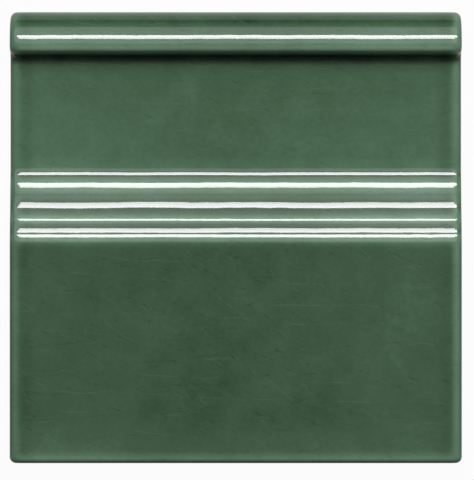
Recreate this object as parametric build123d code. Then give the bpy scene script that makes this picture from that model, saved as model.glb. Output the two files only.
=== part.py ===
from build123d import *
import os
from dataclasses import dataclass
from math import cos, radians, sin

# Skirting tile: one pressed and fired block, lying on its back with the glazed face up.
# X runs along the skirting, +Y points to the rounded nose at the top of the tile and +Z out of the face.
# The origin is the middle of the flat back. Sizes are in millimetres, angles in degrees.

# Overall size of the tile, a six inch module
TILE_WIDTH = 152.0
TILE_HEIGHT = 152.0

# Thickness of the recessed upper panel, and of the tile at the crest of the nose
PANEL_THICKNESS = 8.5
NOSE_THICKNESS = 15.5

# Nose along the top: a quarter round above its crest, a tighter lip below it and a hollow at its foot
NOSE_RADIUS = 11.5
LIP_RADIUS = 3.2
QUIRK_RADIUS = 2.0
LIP_DRAFT = 10.0

# Height of the plain plinth below the reeds
PLINTH_HEIGHT = 73.8

# Rounded arris round the face and down the four corners
ARRIS_RADIUS = 2.0

# Keyed back: shallow grooves for the adhesive, inside a flat rim
KEY_WIDTH = 7.0
KEY_PITCH = 14.0
KEY_DEPTH = 0.8
KEY_SIDE_ANGLE = 45.0
BACK_RIM = 10.0


@dataclass(frozen=True)
class Reed:
    """One step of the moulding, from its hollow at the top to its rounded front edge below.

    The surface starts at start_angle to the tile's back, steepens through the hollow to riser_angle
    and eases through the round to end_angle.
    """

    hollow_radius: float
    round_radius: float
    start_angle: float
    riser_angle: float
    end_angle: float

    def rise(self) -> float:
        """How far this step brings the face forward."""
        hollow = self.hollow_radius * (cos(radians(self.start_angle)) - cos(radians(self.riser_angle)))
        rounded = self.round_radius * (cos(radians(self.end_angle)) - cos(radians(self.riser_angle)))
        return hollow + rounded


# Slopes of the panel and of the plinth, and those that the steps between them leave for one another
FLAT = 0.0
FIRST_TREAD = 4.1
SECOND_TREAD = 5.5

# The three reeds from the upper panel down to the plinth
REEDS = (
    Reed(hollow_radius=8.4, round_radius=16.0, start_angle=FLAT, riser_angle=25.3, end_angle=FIRST_TREAD),
    Reed(
        hollow_radius=17.6,
        round_radius=5.9,
        start_angle=FIRST_TREAD,
        riser_angle=29.0,
        end_angle=SECOND_TREAD,
    ),
    Reed(hollow_radius=13.8, round_radius=9.3, start_angle=SECOND_TREAD, riser_angle=21.0, end_angle=FLAT),
)


def front_section() -> Face:
    """Section of the tile across its height, closed along the flat back."""
    bottom = -TILE_HEIGHT / 2
    top = TILE_HEIGHT / 2
    plinth_thickness = PANEL_THICKNESS + sum(reed.rise() for reed in REEDS)
    lip_turn = 90.0 - LIP_DRAFT
    lip_fall = LIP_RADIUS * (1 - cos(radians(lip_turn)))
    quirk_rise = QUIRK_RADIUS * (1 - cos(radians(lip_turn)))
    underside = (NOSE_THICKNESS - PANEL_THICKNESS - lip_fall - quirk_rise) / cos(radians(LIP_DRAFT))
    lip_depth = (LIP_RADIUS + QUIRK_RADIUS) * sin(radians(lip_turn)) + underside * sin(radians(LIP_DRAFT))
    panel_top = top - NOSE_RADIUS - lip_depth

    with BuildSketch(Plane.YZ.offset(-TILE_WIDTH / 2)) as sketch:
        with BuildLine():
            Line((bottom, 0), (bottom, plinth_thickness))
            path = Line((bottom, plinth_thickness), (bottom + PLINTH_HEIGHT, plinth_thickness))
            # Each reed is followed upwards, so its round comes before its hollow
            for reed in reversed(REEDS):
                path = JernArc(path @ 1, path % 1, reed.round_radius, reed.end_angle - reed.riser_angle)
                path = JernArc(path @ 1, path % 1, reed.hollow_radius, reed.riser_angle - reed.start_angle)
            path = Line(path @ 1, (panel_top, PANEL_THICKNESS))
            path = JernArc(path @ 1, path % 1, QUIRK_RADIUS, lip_turn)
            path = Line(path @ 1, path @ 1 + underside * (path % 1))
            path = JernArc(path @ 1, path % 1, LIP_RADIUS, -lip_turn)
            path = JernArc(path @ 1, path % 1, NOSE_RADIUS, -90)
            path = Line(path @ 1, (top, 0))
            Line(path @ 1, (bottom, 0))
        make_face()
    return sketch.sketch


def skirting_tile() -> Part:
    """The whole tile as one solid."""
    key_field = TILE_HEIGHT - 2 * BACK_RIM
    key_count = int((key_field - KEY_WIDTH) // KEY_PITCH) + 1
    key_length = TILE_WIDTH - 2 * BACK_RIM

    with BuildPart() as tile:
        extrude(front_section(), amount=TILE_WIDTH, dir=(1, 0, 0))
        left, right = tile.faces().sort_by(Axis.X)[0], tile.faces().sort_by(Axis.X)[-1]
        # The lowest edge of each end belongs to the back and stays sharp
        ends = left.edges().sort_by(Axis.Z)[1:] + right.edges().sort_by(Axis.Z)[1:]
        foot = tile.edges().filter_by(Axis.X).group_by(Axis.Y)[0].sort_by(Axis.Z)[-1:]
        fillet(ends + foot, radius=ARRIS_RADIUS)
        # The grooves narrow towards their floors, as the press leaves them
        with BuildSketch(Plane.XY):
            with GridLocations(0, KEY_PITCH, 1, key_count):
                Rectangle(key_length, KEY_WIDTH)
        extrude(amount=KEY_DEPTH, taper=KEY_SIDE_ANGLE, mode=Mode.SUBTRACT)
    return tile.part


os.makedirs("parts", exist_ok=True)
export_step(skirting_tile(), "parts/skirting_tile.step")
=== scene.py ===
import logging
import math
from dataclasses import dataclass
from enum import IntEnum

import bmesh
import bpy
import numpy as np
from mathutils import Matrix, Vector


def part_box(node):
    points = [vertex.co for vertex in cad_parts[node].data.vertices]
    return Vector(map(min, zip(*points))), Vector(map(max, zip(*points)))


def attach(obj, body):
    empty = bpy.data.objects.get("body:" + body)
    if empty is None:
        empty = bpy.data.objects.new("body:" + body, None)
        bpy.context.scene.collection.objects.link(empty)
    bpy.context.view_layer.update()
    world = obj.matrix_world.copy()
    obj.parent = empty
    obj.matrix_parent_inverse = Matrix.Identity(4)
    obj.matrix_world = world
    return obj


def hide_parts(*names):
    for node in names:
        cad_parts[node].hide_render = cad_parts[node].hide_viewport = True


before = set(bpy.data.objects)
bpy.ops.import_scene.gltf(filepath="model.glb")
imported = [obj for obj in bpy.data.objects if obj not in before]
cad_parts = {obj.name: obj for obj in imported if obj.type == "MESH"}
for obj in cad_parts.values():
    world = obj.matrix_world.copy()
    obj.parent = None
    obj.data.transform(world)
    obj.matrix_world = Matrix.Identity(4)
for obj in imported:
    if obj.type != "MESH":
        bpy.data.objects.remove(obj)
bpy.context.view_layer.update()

# Skirting tile, dressed: green crackle glaze over the face and arrises, bare biscuit below and behind.
# Sizes in the classes below are in millimetres unless a name says otherwise; Blender works in metres.
MM = 0.001

TILE_NODE = "skirting_tile"
TILE_BODY = "root"
THINNESS_AND_SHADE = "glaze_thinness_and_shade"

# Frame of the photograph in pixels, and where the edges of the tile lie in it
IMAGE_WIDTH_PX = 474
IMAGE_HEIGHT_PX = 480
LEFT_EDGE_PX = 9.7
RIGHT_EDGE_PX = 461.85
TOP_EDGE_PX = 12.05
BOTTOM_EDGE_PX = 463.25

Tree = bpy.types.NodeTree
Socket = bpy.types.NodeSocket

log = logging.getLogger(TILE_NODE)


class Coat(IntEnum):
    """What covers a face of the tile, in the order of its material slots."""

    GLAZE = 0
    BISCUIT = 1


def linear(hex_colour: str) -> tuple[float, float, float, float]:
    """Turn an sRGB hex colour into linear RGBA.

    Args:
        hex_colour: Six hex digits after a hash sign.

    Returns:
        Red, green, blue and an alpha of 1.
    """
    parts = [int(hex_colour[i : i + 2], 16) / 255 for i in (1, 3, 5)]
    rgb = [p / 12.92 if p <= 0.04045 else ((p + 0.055) / 1.055) ** 2.4 for p in parts]
    return (*rgb, 1.0)


def add_node(
    tree: Tree,
    kind: str,
    settings: dict[str | int, object] | None = None,
    links: dict[str | int, Socket] | None = None,
) -> bpy.types.Node:
    """Add one node to a tree.

    Args:
        tree: The tree that gets the node.
        kind: Blender's name of the node's type.
        settings: Values by name or number, for the node's own settings or its input sockets.
        links: Output sockets by the name or number of the input that they feed.

    Returns:
        The new node.
    """
    node = tree.nodes.new(kind)
    for name, value in (settings or {}).items():
        if isinstance(name, str) and hasattr(node, name):
            setattr(node, name, value)
        else:
            node.inputs[name].default_value = value
    for name, source in (links or {}).items():
        tree.links.new(source, node.inputs[name])
    return node


def new_material(name: str) -> tuple[bpy.types.Material, Tree]:
    """Make an empty node material.

    Args:
        name: Name of the material.

    Returns:
        The material and its cleared node tree.
    """
    material = bpy.data.materials.new(name)
    material.use_nodes = True
    material.node_tree.nodes.clear()
    return material, material.node_tree


def bell(offset: np.ndarray, spread: float) -> np.ndarray:
    """Bell curve that is 1 where the offset is 0 and falls away over the spread."""
    return np.exp(-0.5 * (offset / spread) ** 2)


@dataclass(frozen=True)
class Hairlines:
    """One family of crazing lines: roughly parallel, wandering, and broken into dashes."""

    turn_deg: float
    pitch: float
    wander: float
    # Crazing is about 0.05 mm wide; it is drawn several times as wide so that it shows at all
    width: float
    dash_length: float
    share: float
    seed: float
    sways_per_dash: float = 0.6
    # Dashes begin where the noise that breaks the line passes the first value, and are full at the second
    dash_from: float = 0.5
    dash_full: float = 0.66

    def mask(self, tree: Tree, place: Socket, liveliness: Socket) -> Socket:
        """Add the nodes of this family.

        Args:
            tree: The glaze's node tree.
            place: Position on the tile, in metres.
            liveliness: How strongly the coat is crazed there.

        Returns:
            How strongly a line shows, from 0 to share in a coat of plain liveliness.
        """
        turned = add_node(
            tree,
            "ShaderNodeMapping",
            {"Rotation": (0.0, 0.0, math.radians(self.turn_deg)), "Location": (self.seed, self.seed, 0.0)},
            {"Vector": place},
        ).outputs["Vector"]
        across = add_node(tree, "ShaderNodeSeparateXYZ", links={"Vector": turned}).outputs["Y"]
        sway = add_node(
            tree,
            "ShaderNodeTexNoise",
            {"Scale": self.sways_per_dash / (self.dash_length * MM), "Detail": 2.0},
            {"Vector": turned},
        ).outputs["Fac"]
        shifted = add_node(
            tree, "ShaderNodeMath", {"operation": "MULTIPLY_ADD", 1: self.wander * MM}, {0: sway, 2: across}
        ).outputs[0]
        away = add_node(
            tree, "ShaderNodeMath", {"operation": "PINGPONG", 1: self.pitch * MM / 2}, {0: shifted}
        ).outputs[0]
        line = add_node(
            tree,
            "ShaderNodeMapRange",
            {"From Min": 0.0, "From Max": self.width * MM, "To Min": 1.0, "To Max": 0.0},
            {"Value": away},
        ).outputs["Result"]
        patch = add_node(
            tree,
            "ShaderNodeTexNoise",
            {"Scale": 1 / (self.dash_length * MM), "Detail": 1.0},
            {"Vector": turned},
        ).outputs["Fac"]
        shown = add_node(
            tree,
            "ShaderNodeMapRange",
            {"From Min": self.dash_from, "From Max": self.dash_full, "To Min": 0.0, "To Max": self.share},
            {"Value": patch},
        ).outputs["Result"]
        drawn = add_node(tree, "ShaderNodeMath", {"operation": "MULTIPLY"}, {0: line, 1: shown}).outputs[0]
        return add_node(
            tree, "ShaderNodeMath", {"operation": "MULTIPLY"}, {0: drawn, 1: liveliness}
        ).outputs[0]


@dataclass(frozen=True)
class Mottle:
    """Patches in which the coat lies a little thinner or thicker."""

    size: float
    depth: float


@dataclass(frozen=True)
class Tone:
    """Colour of the coat at a level of thinness with painted light and shade, from 0 in a deep pool and in
    painted shadow to 1 on a bare edge and in painted light.
    """

    level: float
    colour: str


@dataclass(frozen=True)
class CrackleGlaze:
    """Transparent green glaze on earthenware, fired to a crackle.

    The glaze is coloured glass: where it runs thin over an edge the pale body shows through, and where it
    pools in a hollow it darkens, to near black where shadow is painted in with it. The surface is a clear
    gloss with hairline crazing in it.
    """

    # A near-black pool in a hollow, dark enough to stand for the painted shadow under the nose, a deep, an
    # even and a thin coat, and a bare edge
    tones: tuple[Tone, ...] = (
        Tone(0.0, "#0C1417"),
        Tone(0.2, "#2E4A33"),
        Tone(0.5, "#46654B"),
        Tone(0.7, "#5E8167"),
        Tone(1.0, "#86A48C"),
    )
    craze_light: str = "#6B8A72"
    craze_dark: str = "#1E3325"
    ior: float = 1.6
    roughness: float = 0.05
    # Clouds, flecks and motes in the coat
    mottles: tuple[Mottle, ...] = (Mottle(38.0, 0.2), Mottle(9.0, 0.15), Mottle(1.6, 0.12))
    # A thick coat is mottled and crazed more strongly than a thin one
    thick_coat: float = -0.35
    thin_coat: float = 0.1
    thick_liveliness: float = 1.6
    thin_liveliness: float = 0.75
    # Orange peel of the set surface
    peel_size: float = 2.4
    peel_depth: float = 0.012
    peel_strength: float = 0.25
    # Crazing, pale where its edges catch the light and dark where it has taken up dirt
    light_lines: tuple[Hairlines, ...] = (
        Hairlines(turn_deg=2.0, pitch=6.5, wander=6.0, width=0.22, dash_length=15.0, share=0.2, seed=0.031),
        Hairlines(turn_deg=38.0, pitch=6.0, wander=5.0, width=0.2, dash_length=4.5, share=0.16, seed=0.083),
    )
    dark_lines: tuple[Hairlines, ...] = (
        Hairlines(turn_deg=-4.0, pitch=8.5, wander=6.0, width=0.22, dash_length=9.0, share=0.3, seed=0.147),
        Hairlines(turn_deg=24.0, pitch=4.5, wander=4.0, width=0.22, dash_length=2.6, share=0.4, seed=0.211),
    )

    def material(self) -> bpy.types.Material:
        """Build the glaze from the tile's own attribute of glaze thinness with painted light and shade.

        Returns:
            The material.
        """
        material, tree = new_material("green_crackle_glaze")
        place = add_node(tree, "ShaderNodeTexCoord").outputs["Object"]
        coat = add_node(tree, "ShaderNodeAttribute", {"attribute_name": THINNESS_AND_SHADE}).outputs["Fac"]
        liveliness = add_node(
            tree,
            "ShaderNodeMapRange",
            {
                "From Min": self.thick_coat,
                "From Max": self.thin_coat,
                "To Min": self.thick_liveliness,
                "To Max": self.thin_liveliness,
            },
            {"Value": coat},
        ).outputs["Result"]
        colour = self._coat_colour(tree, place, coat, liveliness)
        for lines, tint in ((self.light_lines, self.craze_light), (self.dark_lines, self.craze_dark)):
            for family in lines:
                colour = add_node(
                    tree,
                    "ShaderNodeMix",
                    {"data_type": "RGBA", 7: linear(tint)},
                    {0: family.mask(tree, place, liveliness), 6: colour},
                ).outputs[2]
        peel = add_node(
            tree,
            "ShaderNodeTexNoise",
            {"Scale": 1 / (self.peel_size * MM), "Detail": 1.0},
            {"Vector": place},
        ).outputs["Fac"]
        bump = add_node(
            tree,
            "ShaderNodeBump",
            {"Strength": self.peel_strength, "Distance": self.peel_depth * MM},
            {"Height": peel},
        ).outputs["Normal"]
        shader = add_node(
            tree,
            "ShaderNodeBsdfPrincipled",
            {"IOR": self.ior, "Roughness": self.roughness},
            {"Base Color": colour, "Normal": bump},
        )
        add_node(tree, "ShaderNodeOutputMaterial", links={"Surface": shader.outputs["BSDF"]})
        return material

    def _coat_colour(self, tree: Tree, place: Socket, coat: Socket, liveliness: Socket) -> Socket:
        """Colour of the coat from how thin it lies and the light and shade painted into it, mottled.

        Args:
            tree: The glaze's node tree.
            place: Position on the tile, in metres.
            coat: How thin the coat lies there, with painted light and shade, from -1 to 1.
            liveliness: How strongly the coat is mottled there.

        Returns:
            The colour.
        """
        # The attribute runs from -1 to 1, and the tones from 0 to 1
        level = add_node(
            tree, "ShaderNodeMath", {"operation": "MULTIPLY_ADD", 1: 0.5, 2: 0.5}, {0: coat}
        ).outputs[0]
        # Noise runs from 0 to 1, so that half of each depth is taken off first
        spread = add_node(tree, "ShaderNodeValue").outputs[0]
        spread.default_value = -sum(mottle.depth for mottle in self.mottles) / 2
        for mottle in self.mottles:
            patches = add_node(
                tree,
                "ShaderNodeTexNoise",
                {"Scale": 1 / (mottle.size * MM), "Detail": 2.0},
                {"Vector": place},
            ).outputs["Fac"]
            spread = add_node(
                tree,
                "ShaderNodeMath",
                {"operation": "MULTIPLY_ADD", 1: mottle.depth},
                {0: patches, 2: spread},
            ).outputs[0]
        depth = add_node(
            tree, "ShaderNodeMath", {"operation": "MULTIPLY_ADD"}, {0: spread, 1: liveliness, 2: level}
        ).outputs[0]
        ramp = add_node(tree, "ShaderNodeValToRGB", links={"Fac": depth})
        # A new ramp has its two ends already
        for tone in self.tones[1:-1]:
            ramp.color_ramp.elements.new(tone.level)
        for element, tone in zip(ramp.color_ramp.elements, self.tones):
            element.position = tone.level
            element.color = linear(tone.colour)
        return ramp.outputs["Color"]


@dataclass(frozen=True)
class Biscuit:
    """Fired, unglazed earthenware: a matt, slightly chalky cream with a fine pressed grain."""

    body: str = "#E4DAC6"
    stain: str = "#CFC0A6"
    speck: str = "#B7A588"
    roughness: float = 0.88
    stain_size: float = 26.0
    # Pressed dust is graded to about 0.3 mm; the grain is drawn at twice that so that it shows
    grain_size: float = 0.6
    grain_depth: float = 0.08
    grain_strength: float = 0.5
    # Specks begin where the grain's noise passes the first value, and are full at the second
    speck_from: float = 0.62
    speck_full: float = 0.78
    speck_share: float = 0.6

    def material(self) -> bpy.types.Material:
        """Build the biscuit.

        Returns:
            The material.
        """
        material, tree = new_material("earthenware_biscuit")
        place = add_node(tree, "ShaderNodeTexCoord").outputs["Object"]
        patches = add_node(
            tree,
            "ShaderNodeTexNoise",
            {"Scale": 1 / (self.stain_size * MM), "Detail": 4.0},
            {"Vector": place},
        ).outputs["Fac"]
        grain = add_node(
            tree,
            "ShaderNodeTexNoise",
            {"Scale": 1 / (self.grain_size * MM), "Detail": 2.0},
            {"Vector": place},
        ).outputs["Fac"]
        tone = add_node(
            tree,
            "ShaderNodeMix",
            {"data_type": "RGBA", 6: linear(self.body), 7: linear(self.stain)},
            {0: patches},
        ).outputs[2]
        specks = add_node(
            tree,
            "ShaderNodeMapRange",
            {
                "From Min": self.speck_from,
                "From Max": self.speck_full,
                "To Min": 0.0,
                "To Max": self.speck_share,
            },
            {"Value": grain},
        ).outputs["Result"]
        colour = add_node(
            tree, "ShaderNodeMix", {"data_type": "RGBA", 7: linear(self.speck)}, {0: specks, 6: tone}
        ).outputs[2]
        bump = add_node(
            tree,
            "ShaderNodeBump",
            {"Strength": self.grain_strength, "Distance": self.grain_depth * MM},
            {"Height": grain},
        ).outputs["Normal"]
        shader = add_node(
            tree,
            "ShaderNodeBsdfPrincipled",
            {"Roughness": self.roughness},
            {"Base Color": colour, "Normal": bump},
        )
        add_node(tree, "ShaderNodeOutputMaterial", links={"Surface": shader.outputs["BSDF"]})
        return material


@dataclass(frozen=True)
class Ripple:
    """Gentle unevenness that a molten coat keeps when it sets, as a sum of random waves."""

    wavelength: float
    height: float
    seed: int
    waves: int = 24
    # Shortest and longest wave, as shares of the wavelength
    shortest: float = 0.7
    longest: float = 1.4

    def depth(self, along: np.ndarray, across: np.ndarray) -> np.ndarray:
        """Depth of the ripple below its highest level.

        Args:
            along: Positions along the tile.
            across: Positions over the section, measured on the surface.

        Returns:
            Depths from 0 to height, in the shape of the arguments.
        """
        draw = np.random.default_rng(self.seed)
        total = np.zeros(np.broadcast(along, across).shape)
        for _ in range(self.waves):
            turn = draw.uniform(0, math.pi)
            pitch = self.wavelength * draw.uniform(self.shortest, self.longest)
            phase = draw.uniform(0, 2 * math.pi)
            way = along * math.cos(turn) + across * math.sin(turn)
            total += np.sin(way * 2 * math.pi / pitch + phase)
        level = np.tanh(total / math.sqrt(2 * self.waves))
        return self.height * (1 - level) / 2


@dataclass(frozen=True)
class Stretch:
    """A line or arc of the section, with the spacing of the stations on it."""

    length: float
    turn: float
    step: float

    @classmethod
    def arc(cls, radius: float, turn: float, step: float) -> "Stretch":
        """An arc of that radius; a positive turn, in degrees, is a hollow and a negative one a round."""
        return cls(radius * math.radians(abs(turn)), turn, step)


@dataclass(frozen=True)
class Reed:
    """One step of the moulding: a hollow at the top, then a rounded front edge below; angles in degrees."""

    hollow_radius: float
    round_radius: float
    start_angle: float
    riser_angle: float
    end_angle: float

    def rise(self) -> float:
        """How far this step brings the face forward.

        Returns:
            The step's share of the thickness.
        """
        riser = math.cos(math.radians(self.riser_angle))
        hollow = self.hollow_radius * (math.cos(math.radians(self.start_angle)) - riser)
        return hollow + self.round_radius * (math.cos(math.radians(self.end_angle)) - riser)

    def run(self) -> float:
        """Height of the tile that this step takes up.

        Returns:
            The height of its hollow and its round together.
        """
        riser = math.sin(math.radians(self.riser_angle))
        hollow = self.hollow_radius * (riser - math.sin(math.radians(self.start_angle)))
        return hollow + self.round_radius * (riser - math.sin(math.radians(self.end_angle)))

    def stretches(self, step: float) -> list[Stretch]:
        """The round and then the hollow, as the section meets them from below.

        Args:
            step: Spacing of the stations.

        Returns:
            The two arcs.
        """
        return [
            Stretch.arc(self.round_radius, self.end_angle - self.riser_angle, step),
            Stretch.arc(self.hollow_radius, self.riser_angle - self.start_angle, step),
        ]


@dataclass
class Stations:
    """Points over the section: place, heading in radians, bulge (1/mm, rounds positive) and distance."""

    y: np.ndarray
    z: np.ndarray
    heading: np.ndarray
    bulge: np.ndarray
    distance: np.ndarray


@dataclass
class Columns:
    """Points along the tile: place, how far the section is drawn in there, and the arris's angle."""

    x: np.ndarray
    inset: np.ndarray
    angle: np.ndarray


@dataclass(frozen=True)
class GlazeLie:
    """How the glaze lies, with light and shade painted in: thin over rounds and arrises, pooled in hollows
    and a little in from the ends, painted shade under the nose and over the lower face, and painted
    reflections at the top and foot.
    """

    # The coat draws off rounds and runs into hollows over these lengths, and feels them so many times as far
    round_reach: float = 1.1
    hollow_reach: float = 2.1
    felt_reaches: float = 3.0
    # Rounds of about this sharpness, in 1/mm, thin the coat by these shares, on the nose and on the reeds
    round_bulge: float = 0.09
    round_share: float = 0.74
    reed_share: float = 0.68
    # Steep rounds thin it less, by this power of the cosine of their slope
    steep_power: int = 3
    # A hollow of this sharpness, in 1/mm, holds a full pool, which under the nose is also painted shadow
    hollow_bulge: float = 0.44
    # In the hollow of a reed the coat gathers where the slope is about this, and shade is painted there with
    # it
    reed_pool_slope_deg: float = 17.0
    reed_pool_spread_deg: float = 4.5
    reed_pool_depth: float = 0.8
    # The nose is painted darker where it falls away on either side at about this slope: painted shade under
    # the lip and a painted dark reflection on its upper flank
    dark_band_slope_deg: float = 43.0
    dark_band_spread_deg: float = 4.5
    dark_band_depth: float = 0.32
    # Arrises at the two ends, pale where the glaze runs thin; the right one is painted paler still, as
    # painted light
    left_arris_level: float = 0.28
    right_arris_lit_level: float = 0.46
    arris_fade: float = 2.0
    # Arris along the foot: pale where the glaze runs thin over it, and painted dark beyond a slope, a
    # painted reflection of the shaded floor
    foot_bulge: float = 0.5
    foot_share: float = 0.6
    foot_dark_reflection: float = 0.8
    dark_edge_from_deg: float = 35.0
    dark_edge_to_deg: float = 58.0
    # Runnel that the glaze forms a little way in from each end
    runnel_place: float = 5.4
    runnel_spread: float = 1.6
    runnel_depth: float = 0.14
    # The tile is darker down the middle
    heart_place: float = 4.0
    heart_spread: float = 30.0
    heart_depth: float = 0.17
    edge_level: float = 0.09
    # Slow changes from the foot to the top: thinness of each part, with light and shade painted in, and how
    # far it takes to change. The plinth and the panel next to the nose are painted darker, as shade.
    foot_level: float = 0.06
    foot_change: float = 14.0
    plinth_shade_level: float = -0.2
    reeds_level: float = 0.23
    reeds_change: float = 2.4
    shoulder_change: float = 4.0
    panel_low_level: float = 0.11
    panel_shaded_level: float = 0.015
    # The underside of the lip is painted dark, a painted shadow
    lip_shadow_level: float = -0.55
    brow_level: float = 0.17
    nose_level: float = -0.28
    nose_change: float = 1.3
    # Just below the top edge the nose is painted dark and then pale: a painted dark reflection, then a
    # painted reflection of the floor
    rim_dark_band_level: float = -0.38
    rim_reflection_level: float = 0.2
    # Between these distances from the top edge the coat is painted from a dark band, a painted dark
    # reflection, to a pale rim, a painted reflection of the floor
    rim_from: float = 6.6
    rim_to: float = 3.7

    def thinness_and_shade(self, tile: "SkirtingTile", stations: Stations, columns: Columns) -> np.ndarray:
        """How thin the glaze lies, with light and shade painted in: 1 on a bare edge and where light is
        painted, 0 on a flat, and -1 in a deep pool and where shadow is painted.

        Args:
            tile: The tile that carries the glaze.
            stations: Points over the section.
            columns: Points along the tile.

        Returns:
            One value for each station and column.
        """
        bulge = self._evened_bulge(stations, self.round_reach)
        hollow = self._evened_bulge(stations, self.hollow_reach)
        slope = np.degrees(stations.heading)
        steepness = np.abs(slope)
        on_reeds = self._on_reeds(tile, stations)
        share = np.where(on_reeds, self.reed_share, self.round_share)
        rounds = np.tanh(np.maximum(bulge, 0) / self.round_bulge) * share
        rounds *= np.cos(stations.heading) ** self.steep_power
        # Pooled glaze and painted shade in the hollows of the reeds
        belly = bell(steepness - self.reed_pool_slope_deg, self.reed_pool_spread_deg)
        reed_pools_and_shade = -self.reed_pool_depth * belly * (stations.bulge < 0)
        # Away from the reeds the pool in the hollow under the nose is partly glaze and partly painted shadow
        pools_and_shade = np.where(on_reeds, reed_pools_and_shade, np.clip(hollow / self.hollow_bulge, -1, 0))
        # Painted shade under the lip and a painted dark reflection on the nose's upper flank
        dark_bands = bell(steepness - self.dark_band_slope_deg, self.dark_band_spread_deg)
        # Painted dark reflection on the steep lower part of the foot's arris
        dark_edge = np.clip((slope - self.dark_edge_from_deg) / (self.dark_edge_to_deg - self.dark_edge_from_deg), 0, 1)
        foot = self.foot_share * np.clip(bulge / self.foot_bulge, 0, 1) * (1 - dark_edge) - self.foot_dark_reflection * dark_edge
        foot_end, *_ = tile.ends()
        on_foot = stations.distance < foot_end + self.felt_reaches * self.round_reach
        over_section = np.where(on_foot, foot, rounds + pools_and_shade - self.dark_band_depth * dark_bands)
        over_section += self._slow_changes(tile, stations)

        from_end = tile.width / 2 - np.abs(columns.x)
        heart = bell(columns.x - self.heart_place, self.heart_spread)
        runnel = bell(from_end - self.runnel_place, self.runnel_spread)
        along = self.edge_level - self.heart_depth * heart - self.runnel_depth * runnel
        # The right arris is painted paler than the left, as painted light
        arris = np.where(columns.x < 0, self.left_arris_level, self.right_arris_lit_level)
        band = np.clip((tile.arris_radius + self.arris_fade - from_end) / self.arris_fade, 0, 1)
        band *= np.cos(columns.angle)
        # An arris that is dark already, with pooled glaze and painted shadow as in the hollow under the
        # nose, stays so
        inner = over_section[:, None] + along[None, :]
        outer = np.minimum(arris[None, :], inner + self.round_share)
        return np.clip(inner + (outer - inner) * band[None, :], -1, 1)

    def _on_reeds(self, tile: "SkirtingTile", stations: Stations) -> np.ndarray:
        """Which stations lie on the reeds or so near that their bulge is still felt.

        Args:
            tile: The tile that carries the glaze.
            stations: Points over the section.

        Returns:
            True or false for each station.
        """
        _, plinth, *reeds, _, _, _, _, _ = tile.ends()
        felt = self.felt_reaches * self.round_reach
        return (stations.distance > plinth - felt) & (stations.distance < reeds[-1] + felt)

    @staticmethod
    def _evened_bulge(stations: Stations, reach: float) -> np.ndarray:
        """The bulge of the section, evened out along the surface.

        Args:
            stations: Points over the section.
            reach: Length over which it is evened out.

        Returns:
            One value for each station.
        """
        apart = stations.distance[:, None] - stations.distance[None, :]
        weight = bell(apart, reach) * np.gradient(stations.distance)[None, :]
        return (weight * stations.bulge[None, :]).sum(1) / weight.sum(1)

    def _slow_changes(self, tile: "SkirtingTile", stations: Stations) -> np.ndarray:
        """Thinness of the coat on each part of the tile, apart from its edges and hollows, with painted
        light and shade in it.

        Args:
            tile: The tile that carries the glaze.
            stations: Points over the section.

        Returns:
            One value for each station.
        """
        foot, plinth, *reeds, panel, quirk, underside, crest, top = tile.ends()
        levels = (
            (foot, self.foot_level),
            (foot + self.foot_change, self.plinth_shade_level),
            (plinth, self.plinth_shade_level),
            (plinth + self.reeds_change, self.reeds_level),
            (reeds[-1], self.reeds_level),
            (reeds[-1] + self.shoulder_change, self.panel_low_level),
            (panel, self.panel_shaded_level),
            (quirk, self.lip_shadow_level),
            (underside, self.lip_shadow_level),
            (crest - self.nose_change, self.brow_level),
            (crest, self.nose_level),
            (top - self.rim_from, self.rim_dark_band_level),
            (top - self.rim_to, self.rim_reflection_level),
        )
        return np.interp(stations.distance, *zip(*levels))


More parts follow.
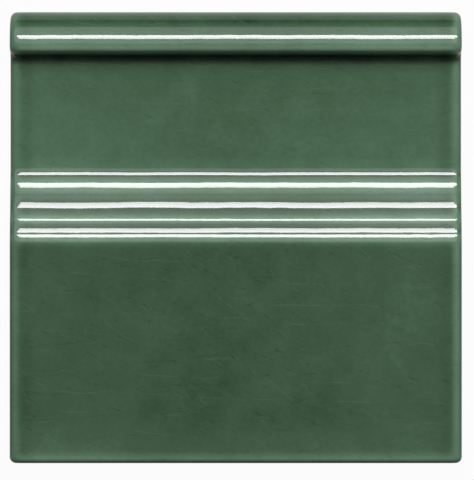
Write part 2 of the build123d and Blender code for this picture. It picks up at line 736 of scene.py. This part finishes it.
@dataclass
class SkirtingTile:
    """The fired tile: its section, run along the width with rounded ends, on a keyed back."""

    width: float
    height: float
    nose_thickness: float
    panel_thickness: float = 8.5
    plinth_height: float = 73.8
    nose_radius: float = 11.5
    lip_radius: float = 3.2
    quirk_radius: float = 2.0
    lip_draft: float = 10.0
    arris_radius: float = 2.0
    # From the panel down: radii of the hollow and the round, and slopes at the start, riser and end
    reeds: tuple[Reed, ...] = (
        Reed(8.4, 16.0, 0.0, 25.3, 4.1),
        Reed(17.6, 5.9, 4.1, 29.0, 5.5),
        Reed(13.8, 9.3, 5.5, 21.0, 0.0),
    )
    # The face begins to fall this far in from each end, by this much on the way to the arris
    ease_length: float = 4.0
    ease_depth: float = 0.21
    # Spacing of the mesh on flats, mouldings, along the tile and round the arrises
    flat_step: float = 0.9
    moulding_step: float = 0.24
    column_step: float = 0.75
    arris_columns: int = 9
    # The ends' arris is a hair smaller than the section's own, so that no corner shrinks to a point
    end_arris_share: float = 0.98
    # Faces that meet at more than this angle keep a sharp edge
    sharp_angle_deg: float = 38.0
    # The glaze ends on the walls in a wavering line and stands a little proud of the biscuit
    glaze_line: float = 3.3
    glaze_waver: float = 1.3
    wavers: tuple[Ripple, ...] = (
        Ripple(17.0, 1.0, seed=21, waves=14),
        Ripple(5.0, 0.5, seed=22, waves=14),
    )
    glaze_margin: float = 1.4
    glaze_thickness: float = 0.22
    rolled_edge_level: float = 0.3
    wall_rows: int = 5
    foot_rows: int = 3
    foot_chamfer: float = 0.4
    # Keyed back
    key_width: float = 7.0
    key_pitch: float = 14.0
    key_depth: float = 0.8
    back_rim: float = 10.0
    # Lie of the glaze on the face, with light and shade painted into it, and its slow swell and fine ripple
    lie: GlazeLie = GlazeLie()
    ripples: tuple[Ripple, ...] = (Ripple(32.0, 0.10, seed=5), Ripple(8.0, 0.018, seed=9))

    @classmethod
    def from_frame(cls) -> "SkirtingTile":
        """A tile of the overall size that the frame gives.

        Returns:
            The tile.
        """
        low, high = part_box(TILE_NODE)
        size = (high - low) / MM
        return cls(width=size.x, height=size.y, nose_thickness=size.z)

    @property
    def plinth_thickness(self) -> float:
        """Thickness of the plain lower part."""
        return self.panel_thickness + sum(reed.rise() for reed in self.reeds)

    def ends(self) -> np.ndarray:
        """Where each stretch of the section ends, measured on the surface from the foot's wall."""
        return np.cumsum([stretch.length for stretch in self.stretches()])

    def stretches(self) -> list[Stretch]:
        """The face from the foot's arris over the plinth, reeds, panel and nose.

        Returns:
            Lines and arcs, each tangent to the next.
        """
        draft = math.radians(self.lip_draft)
        lip_turn = 90.0 - self.lip_draft
        bends = self.lip_radius + self.quirk_radius
        underside = self.nose_thickness - self.panel_thickness - bends * (1 - math.sin(draft))
        underside /= math.cos(draft)
        lip_depth = bends * math.cos(draft) + underside * math.sin(draft)
        moulding = [part for reed in reversed(self.reeds) for part in reed.stretches(self.moulding_step)]
        panel = self.height - self.plinth_height - sum(reed.run() for reed in self.reeds)
        panel -= self.nose_radius + lip_depth
        return [
            Stretch.arc(self.arris_radius, -90.0, self.moulding_step),
            Stretch(self.plinth_height - self.arris_radius, 0.0, self.flat_step),
            *moulding,
            Stretch(panel, 0.0, self.flat_step),
            Stretch.arc(self.quirk_radius, lip_turn, self.moulding_step),
            Stretch(underside, 0.0, self.moulding_step),
            Stretch.arc(self.lip_radius, -lip_turn, self.moulding_step),
            Stretch.arc(self.nose_radius, -90.0, self.moulding_step),
        ]

    def stations(self) -> Stations:
        """Follow the section and place stations on it.

        Returns:
            The stations, from the top of the foot's wall to the top of the upper wall.
        """
        y, z = -self.height / 2, self.plinth_thickness - self.arris_radius
        heading, distance = math.pi / 2, 0.0
        rows = [(y, z, heading, 0.0, distance)]
        for stretch in self.stretches():
            count = max(1, math.ceil(stretch.length / stretch.step))
            bend = math.radians(stretch.turn) / stretch.length
            for i in range(1, count + 1):
                done = stretch.length * i / count
                chord = done if bend == 0 else 2 * math.sin(bend * done / 2) / bend
                aim = heading + bend * done / 2
                point = (y + chord * math.cos(aim), z + chord * math.sin(aim))
                rows.append((*point, heading + bend * done, -bend, distance + done))
            y, z, heading, _, distance = rows[-1]
        return Stations(*np.array(rows).T)

    def columns(self) -> Columns:
        """Place columns along the tile, closer together round the arris at each end.

        Returns:
            The columns, from the left end to the right end.
        """
        radius = self.arris_radius * self.end_arris_share
        angle = np.linspace(math.pi / 2, 0, self.arris_columns)
        inner = self.width - 2 * radius
        count = math.ceil(inner / self.column_step)
        middle = np.linspace(-inner / 2, inner / 2, count + 1)[1:-1]
        end = radius * (1 - np.sin(angle)) - self.width / 2
        x = np.concatenate([end, middle, -end[::-1]])
        angles = np.concatenate([angle, np.zeros(count - 1), angle[::-1]])
        into_ease = np.clip(1 - (self.width / 2 - np.abs(x)) / self.ease_length, 0, 1)
        return Columns(x, radius * (1 - np.cos(angles)) + self.ease_depth * into_ease**2, angles)

    def build(self) -> bpy.types.Object:
        """Build the whole tile as one closed mesh.

        Returns:
            The tile, in place, with its attribute of glaze thinness and painted light and shade, and the
            coat of each face.
        """
        stations, columns = self.stations(), self.columns()
        face = self._face_points(stations, columns)
        thin_and_shade = self.lie.thinness_and_shade(self, stations, columns)
        rows, cols = thin_and_shade.shape
        number = np.arange(rows * cols).reshape(rows, cols)
        quads = [self._quads(number)]
        coats = [np.full(len(quads[0]), Coat.GLAZE)]

        # Round the tile against the clock as seen from above: foot, right end, top, left end
        rim = np.concatenate([number[0, :], number[1:, -1], number[-1, -2::-1], number[-2:0:-1, 0]])
        outward = self._outward(rim, rows, cols, columns)
        walls, wall_thin_and_shade, wall_coats = self._wall_rows(face.reshape(-1, 3)[rim], thin_and_shade.ravel()[rim], outward)
        wall_number = rows * cols + np.arange(wall_thin_and_shade.size).reshape(wall_thin_and_shade.shape)
        rings = np.vstack([rim[None, :], wall_number])
        rings = np.hstack([rings, rings[:, :1]])
        for upper, lower, coat in zip(rings, rings[1:], wall_coats):
            quads.append(np.stack([upper[:-1], lower[:-1], lower[1:], upper[1:]], 1))
            coats.append(np.full(len(rim), coat))

        mesh = bpy.data.meshes.new("skirting_tile_fired")
        points = np.vstack([face.reshape(-1, 3), walls.reshape(-1, 3)])
        mesh.from_pydata(points * MM, [], np.vstack(quads).tolist())
        mesh.polygons.foreach_set("material_index", np.concatenate(coats).astype(np.int32))
        attribute = mesh.attributes.new(THINNESS_AND_SHADE, "FLOAT", "POINT")
        all_thin_and_shade = np.concatenate([thin_and_shade.ravel(), wall_thin_and_shade.ravel()])
        attribute.data.foreach_set("value", all_thin_and_shade.astype(np.float32))
        self._add_back(mesh, wall_number[-1])
        mesh.shade_smooth()
        mesh.set_sharp_from_angle(angle=math.radians(self.sharp_angle_deg))
        tile = bpy.data.objects.new("skirting_tile_fired", mesh)
        bpy.context.scene.collection.objects.link(tile)
        return tile

    def dress(self, tile: bpy.types.Object, glaze: CrackleGlaze, biscuit: Biscuit) -> None:
        """Give the tile its coats and its place in the frame.

        Args:
            tile: The built tile.
            glaze: Finish of the face.
            biscuit: Finish of the back and the foot of the walls.
        """
        tile.data.materials.append(glaze.material())
        tile.data.materials.append(biscuit.material())
        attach(tile, TILE_BODY)
        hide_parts(TILE_NODE)

    def _face_points(self, stations: Stations, columns: Columns) -> np.ndarray:
        """Points of the glazed face, drawn in round the end arrises and by the glaze's ripple.

        Args:
            stations: Points over the section.
            columns: Points along the tile.

        Returns:
            An array of stations by columns by three.
        """
        along, across = columns.x[None, :], stations.distance[:, None]
        dip = sum(ripple.depth(along, across) for ripple in self.ripples)
        # The ripple dies out at the rim, so that the walls stay true
        from_rim = np.minimum(across, stations.distance[-1] - across)
        from_end = self.width / 2 - np.abs(along)
        dip *= np.clip(np.minimum(from_rim, from_end) / self.arris_radius, 0, 1)
        sink = columns.inset[None, :] + dip
        y = stations.y[:, None] + np.sin(stations.heading)[:, None] * sink
        z = stations.z[:, None] - np.cos(stations.heading)[:, None] * sink
        return np.stack([np.broadcast_to(along, sink.shape), y, z], 2)

    @staticmethod
    def _quads(number: np.ndarray) -> np.ndarray:
        """Quads of a grid of point numbers, facing out of the tile."""
        corners = [number[:-1, :-1], number[:-1, 1:], number[1:, 1:], number[1:, :-1]]
        return np.stack(corners, 2).reshape(-1, 4)

    @staticmethod
    def _outward(rim: np.ndarray, rows: int, cols: int, columns: Columns) -> np.ndarray:
        """Directions square to the walls, in plan, for each point of the rim.

        Args:
            rim: Point numbers round the face.
            rows: Stations of the face.
            cols: Columns of the face.
            columns: Points along the tile.

        Returns:
            An array of one x and y for each point.
        """
        row, col = np.divmod(rim, cols)
        side = np.sign(columns.x[col])
        across = np.where(row == 0, -1.0, np.where(row == rows - 1, 1.0, 0.0))
        return np.stack([side * np.sin(columns.angle[col]), across * np.cos(columns.angle[col])], 1)

    def _wall_rows(
        self, rim: np.ndarray, rim_thin_and_shade: np.ndarray, outward: np.ndarray
    ) -> tuple[np.ndarray, np.ndarray, list[Coat]]:
        """Rows of points down the walls: glaze to its wavering line, then biscuit to the back.

        Args:
            rim: Points round the face.
            rim_thin_and_shade: Thinness of the glaze at those points, with painted light and shade.
            outward: Directions square to the walls.

        Returns:
            The rows of points, their thinness with painted light and shade, and the coat of the faces above
            each row.
        """
        waver = sum(ripple.depth(rim[:, 0], rim[:, 1]) for ripple in self.wavers)
        waver_middle = sum(ripple.height for ripple in self.wavers) / 2
        line = np.minimum(self.glaze_line, rim[:, 2] - self.glaze_margin)
        line += self.glaze_waver * (waver - waver_middle)
        heights, insets, thin_and_shade, coats = [], [], [], []
        for share in np.linspace(0, 1, self.wall_rows + 1)[1:]:
            heights.append(share * (line + self.glaze_thickness) + (1 - share) * rim[:, 2])
            insets.append(0.0)
            thin_and_shade.append((1 - share) * rim_thin_and_shade)
            coats.append(Coat.GLAZE)
        # Rolled lower edge of the glaze
        heights.append(line)
        insets.append(self.glaze_thickness)
        thin_and_shade.append(np.full_like(line, self.rolled_edge_level))
        coats.append(Coat.GLAZE)
        for share in np.linspace(0, 1, self.foot_rows + 1)[1:]:
            heights.append((1 - share) * line + share * self.foot_chamfer)
            insets.append(self.glaze_thickness)
            thin_and_shade.append(np.zeros_like(line))
            coats.append(Coat.BISCUIT)
        heights.append(np.zeros_like(line))
        insets.append(self.glaze_thickness + self.foot_chamfer)
        thin_and_shade.append(np.zeros_like(line))
        coats.append(Coat.BISCUIT)
        rows = [np.column_stack([rim[:, :2] - outward * inset, z]) for z, inset in zip(heights, insets)]
        return np.array(rows), np.array(thin_and_shade), coats

    def _add_back(self, mesh: bpy.types.Mesh, foot_ring: np.ndarray) -> None:
        """Close the back with a flat face round tapered key grooves.

        The flat is cut across at both long edges of each groove, so that no part of it has a hole.

        Args:
            mesh: The tile so far, open at the back.
            foot_ring: Point numbers round the open edge.
        """
        count = int((self.height - 2 * self.back_rim - self.key_width) // self.key_pitch) + 1
        middles = [(i - (count - 1) / 2) * self.key_pitch for i in range(count)]
        cuts = [middle + side * self.key_width / 2 for middle in middles for side in (-1, 1)]
        half_length = self.width / 2 - self.back_rim
        work = bmesh.new()
        work.from_mesh(mesh)
        work.verts.ensure_lookup_table()
        ring = [work.verts[i] for i in foot_ring]
        left_ends = [self._nearest(ring, -self.width / 2, y) for y in cuts]
        right_ends = [self._nearest(ring, self.width / 2, y) for y in cuts]
        left = [work.verts.new((-half_length * MM, y * MM, 0)) for y in cuts]
        right = [work.verts.new((half_length * MM, y * MM, 0)) for y in cuts]

        outlines = [
            self._span(ring, left_ends[0], right_ends[0]) + [right[0], left[0]],
            self._span(ring, right_ends[-1], left_ends[-1]) + [left[-1], right[-1]],
        ]
        for low, high in zip(range(len(cuts)), range(1, len(cuts))):
            right_side = self._span(ring, right_ends[low], right_ends[high]) + [right[high]]
            left_side = self._span(ring, left_ends[high], left_ends[low]) + [left[low]]
            between_grooves = low % 2 == 1
            if between_grooves:
                outlines.append(right_side + [left[high]] + left_side + [right[low]])
            else:
                outlines += [right_side + [right[low]], left_side + [left[high]]]
                mouth = [left[low], right[low], right[high], left[high]]
                outlines += self._groove(work, mouth)
        for outline in outlines:
            work.faces.new(outline).material_index = Coat.BISCUIT
        bmesh.ops.recalc_face_normals(work, faces=work.faces)
        work.to_mesh(mesh)
        work.free()

    @staticmethod
    def _nearest(ring: list[bmesh.types.BMVert], x: float, y: float) -> int:
        """Number of the ring's point that is nearest to a place on the back."""
        place = Vector((x, y, 0)) * MM
        return min(range(len(ring)), key=lambda i: (ring[i].co - place).length)

    @staticmethod
    def _span(ring: list[bmesh.types.BMVert], first: int, last: int) -> list[bmesh.types.BMVert]:
        """Points of the ring from the first to the last, past its start where need be."""
        stop = last if last >= first else last + len(ring)
        return [ring[i % len(ring)] for i in range(first, stop + 1)]

    def _groove(
        self, work: bmesh.types.BMesh, mouth: list[bmesh.types.BMVert]
    ) -> list[list[bmesh.types.BMVert]]:
        """Outlines of a groove's floor and sides, which slope at 45 degrees.

        Args:
            work: The mesh that gets the floor's points.
            mouth: The groove's corners in the flat of the back.

        Returns:
            The floor and the four sides.
        """
        middle = sum((corner.co for corner in mouth), Vector()) / len(mouth)
        floor = []
        for corner in mouth:
            inward = (math.copysign(self.key_depth, middle[i] - corner.co[i]) for i in (0, 1))
            floor.append(work.verts.new(corner.co + Vector((*inward, self.key_depth)) * MM))
        following = [(i, (i + 1) % len(mouth)) for i in range(len(mouth))]
        return [floor] + [[mouth[a], mouth[b], floor[b], floor[a]] for a, b in following]


@dataclass(frozen=True)
class SoftboxStrip:
    """One strip of the softbox: its two ends along X, from the middle of the tile, and its radiance."""

    left_m: float
    right_m: float
    radiance: float


@dataclass(frozen=True)
class Softbox:
    """Long soft lamp beyond the top of the tile, whose reflection draws the white lines on the reeds.

    It is a little longer and brighter on the side away from the camera, which gives the lines pointed tips.
    """

    off_axis_deg: float = 32.0
    distance_m: float = 1.0
    strip_width_m: float = 0.0717
    # From the side towards the camera outwards
    strips: tuple[SoftboxStrip, ...] = (
        SoftboxStrip(left_m=-0.145, right_m=0.22, radiance=11.8),
        SoftboxStrip(left_m=-0.165, right_m=0.40, radiance=13.6),
        SoftboxStrip(left_m=-0.20, right_m=0.62, radiance=15.0),
    )

    def place(self, target_m: tuple[float, float, float]) -> list[bpy.types.Object]:
        """Set up the lamp, as strips side by side.

        Args:
            target_m: The point that the lamp faces.

        Returns:
            The strips.
        """
        tilt = math.radians(self.off_axis_deg)
        outwards = Vector((0, math.cos(tilt), -math.sin(tilt)))
        middle = Vector(target_m) + self.distance_m * Vector((0, math.sin(tilt), math.cos(tilt)))
        stands = []
        for number, strip in enumerate(self.strips):
            lamp = bpy.data.lights.new(f"softbox_strip_{number}", "AREA")
            lamp.shape = "RECTANGLE"
            lamp.size, lamp.size_y = strip.right_m - strip.left_m, self.strip_width_m
            lamp.energy = strip.radiance * math.pi * lamp.size * lamp.size_y
            stand = bpy.data.objects.new(lamp.name, lamp)
            across = (number - (len(self.strips) - 1) / 2) * self.strip_width_m
            aside = Vector(((strip.left_m + strip.right_m) / 2, 0, 0))
            stand.location = middle + across * outwards + aside
            stand.rotation_euler = (-tilt, 0, 0)
            bpy.context.scene.collection.objects.link(stand)
            stands.append(stand)
        return stands


@dataclass(frozen=True)
class Studio:
    """Paper floor, dim room with a pale wall behind the lamp, and the camera straight above the tile."""

    camera_height_m: float = 1.8
    sensor_mm: float = 36.0
    # The room is darker beyond the foot, where the Y of a direction falls from the edge to the full value
    room_strength: float = 0.2
    dark_side_strength: float = 0.1
    dark_side_full: float = -0.7
    dark_side_edge: float = -0.1
    # Glow of the wall that the lamp stands against
    wall_strength: float = 1.15
    wall_off_axis_deg: float = 37.0
    wall_full_deg: float = 25.0
    wall_edge_deg: float = 33.5
    # White paper under the tile, and the table beyond it
    paper: str = "#C4C4C2"
    table: str = "#2C2C2B"
    paper_near_m: float = 0.095
    paper_far_m: float = 0.2
    floor_size_m: float = 8.0
    floor_gap_m: float = 0.0001
    # How much of the floor's white is its own for the camera, and for what the glaze mirrors
    seen_white: float = 0.96
    mirrored_white: float = 0.03

    def add_camera(self, tile: SkirtingTile) -> bpy.types.Object:
        """Hang the camera so that the tile's edges fall where the photograph has them.

        Args:
            tile: The tile, for its size.

        Returns:
            The camera.
        """
        foot_z = (tile.plinth_thickness - tile.arris_radius) * MM
        top_z = (tile.nose_thickness - tile.nose_radius) * MM
        foot_scale = (RIGHT_EDGE_PX - LEFT_EDGE_PX) / (tile.width * MM)
        focal_px = foot_scale * (self.camera_height_m - foot_z)
        top_scale = focal_px / (self.camera_height_m - top_z)
        middle_px = IMAGE_HEIGHT_PX / 2
        above_foot = (BOTTOM_EDGE_PX - middle_px) / foot_scale - tile.height * MM / 2
        below_top = tile.height * MM / 2 - (middle_px - TOP_EDGE_PX) / top_scale
        data = bpy.data.cameras.new("camera")
        data.sensor_width = self.sensor_mm
        data.lens = focal_px * self.sensor_mm / max(IMAGE_WIDTH_PX, IMAGE_HEIGHT_PX)
        camera = bpy.data.objects.new("camera", data)
        camera.location = (
            (IMAGE_WIDTH_PX - LEFT_EDGE_PX - RIGHT_EDGE_PX) / 2 / foot_scale,
            (above_foot + below_top) / 2,
            self.camera_height_m,
        )
        bpy.context.scene.collection.objects.link(camera)
        bpy.context.scene.camera = camera
        return camera

    def add_floor(self) -> bpy.types.Object:
        """Lay the floor under the tile.

        Returns:
            The floor.
        """
        half = self.floor_size_m / 2
        mesh = bpy.data.meshes.new("floor")
        sides = ((-1, -1), (1, -1), (1, 1), (-1, 1))
        corners = [(sx * half, sy * half, -self.floor_gap_m) for sx, sy in sides]
        mesh.from_pydata(corners, [], [tuple(range(len(corners)))])
        mesh.materials.append(self._floor_material())
        floor = bpy.data.objects.new("floor", mesh)
        bpy.context.scene.collection.objects.link(floor)
        return floor

    def _floor_material(self) -> bpy.types.Material:
        """White paper that keeps a faint shadow of the tile, on a dark table that only the glaze sees.

        Returns:
            The material.
        """
        material, tree = new_material("white_paper_floor")
        place = add_node(tree, "ShaderNodeTexCoord").outputs["Object"]
        reach = add_node(tree, "ShaderNodeVectorMath", {"operation": "ABSOLUTE"}, {0: place}).outputs[0]
        sides = add_node(tree, "ShaderNodeSeparateXYZ", links={"Vector": reach}).outputs
        furthest = add_node(
            tree, "ShaderNodeMath", {"operation": "MAXIMUM"}, {0: sides["X"], 1: sides["Y"]}
        ).outputs[0]
        beyond = add_node(
            tree,
            "ShaderNodeMapRange",
            {
                "interpolation_type": "SMOOTHSTEP",
                "From Min": self.paper_near_m,
                "From Max": self.paper_far_m,
            },
            {"Value": furthest},
        ).outputs["Result"]
        tone = add_node(
            tree,
            "ShaderNodeMix",
            {"data_type": "RGBA", 6: linear(self.paper), 7: linear(self.table)},
            {0: beyond},
        ).outputs[2]
        paper = add_node(tree, "ShaderNodeBsdfDiffuse", links={"Color": tone})
        white = add_node(tree, "ShaderNodeEmission")
        rays = add_node(tree, "ShaderNodeLightPath").outputs
        mirrored = add_node(
            tree,
            "ShaderNodeMath",
            {"operation": "ADD"},
            {0: rays["Is Glossy Ray"], 1: rays["Is Transmission Ray"]},
        ).outputs[0]
        mirrored_share = add_node(
            tree, "ShaderNodeMath", {"operation": "MULTIPLY", 1: self.mirrored_white}, {0: mirrored}
        ).outputs[0]
        share = add_node(
            tree,
            "ShaderNodeMath",
            {"operation": "MULTIPLY_ADD", 1: self.seen_white},
            {0: rays["Is Camera Ray"], 2: mirrored_share},
        ).outputs[0]
        mixed = add_node(
            tree,
            "ShaderNodeMixShader",
            links={0: share, 1: paper.outputs["BSDF"], 2: white.outputs["Emission"]},
        )
        add_node(tree, "ShaderNodeOutputMaterial", links={"Surface": mixed.outputs["Shader"]})
        return material

    def light_room(self) -> None:
        """Fill the shadows with the dim room, darker beyond the foot, and the glow of the lamp's wall."""
        world = bpy.data.worlds.new("studio")
        bpy.context.scene.world = world
        world.use_nodes = True
        tree = world.node_tree
        tree.nodes.clear()
        tilt = math.radians(self.wall_off_axis_deg)
        direction = add_node(tree, "ShaderNodeTexCoord").outputs["Generated"]
        facing = add_node(
            tree,
            "ShaderNodeVectorMath",
            {"operation": "DOT_PRODUCT", 1: (0.0, math.sin(tilt), math.cos(tilt))},
            {0: direction},
        ).outputs["Value"]
        away = add_node(tree, "ShaderNodeMath", {"operation": "ARCCOSINE"}, {0: facing}).outputs[0]
        wall = add_node(
            tree,
            "ShaderNodeMapRange",
            {
                "interpolation_type": "SMOOTHSTEP",
                "From Min": math.radians(self.wall_full_deg),
                "From Max": math.radians(self.wall_edge_deg),
                "To Min": self.wall_strength,
                "To Max": 0.0,
            },
            {"Value": away},
        ).outputs["Result"]
        across = add_node(tree, "ShaderNodeSeparateXYZ", links={"Vector": direction}).outputs["Y"]
        room = add_node(
            tree,
            "ShaderNodeMapRange",
            {
                "From Min": self.dark_side_full,
                "From Max": self.dark_side_edge,
                "To Min": self.dark_side_strength,
                "To Max": self.room_strength,
            },
            {"Value": across},
        ).outputs["Result"]
        strength = add_node(tree, "ShaderNodeMath", {"operation": "ADD"}, {0: wall, 1: room}).outputs[0]
        sky = add_node(tree, "ShaderNodeBackground", {"Color": (1, 1, 1, 1)}, {"Strength": strength})
        add_node(tree, "ShaderNodeOutputWorld", links={"Surface": sky.outputs["Background"]})


def main() -> None:
    """Build the tile, dress it, and set up the studio round it."""
    logging.basicConfig(level=logging.INFO, format="%(message)s")
    bpy.context.scene.view_settings.view_transform = "Standard"

    tile = SkirtingTile.from_frame()
    fired = tile.build()
    tile.dress(fired, CrackleGlaze(), Biscuit())
    log.info("%s: %d faces", fired.name, len(fired.data.polygons))

    studio = Studio()
    studio.light_room()
    floor = studio.add_floor()
    camera = studio.add_camera(tile)
    reeds_y = (tile.plinth_height - tile.height / 2) + sum(reed.run() for reed in tile.reeds) / 2
    strips = Softbox().place((0.0, reeds_y * MM, tile.panel_thickness * MM))
    for part in (floor, camera, *strips):
        log.info("%s placed", part.name)


if __name__ == "__main__":
    main()
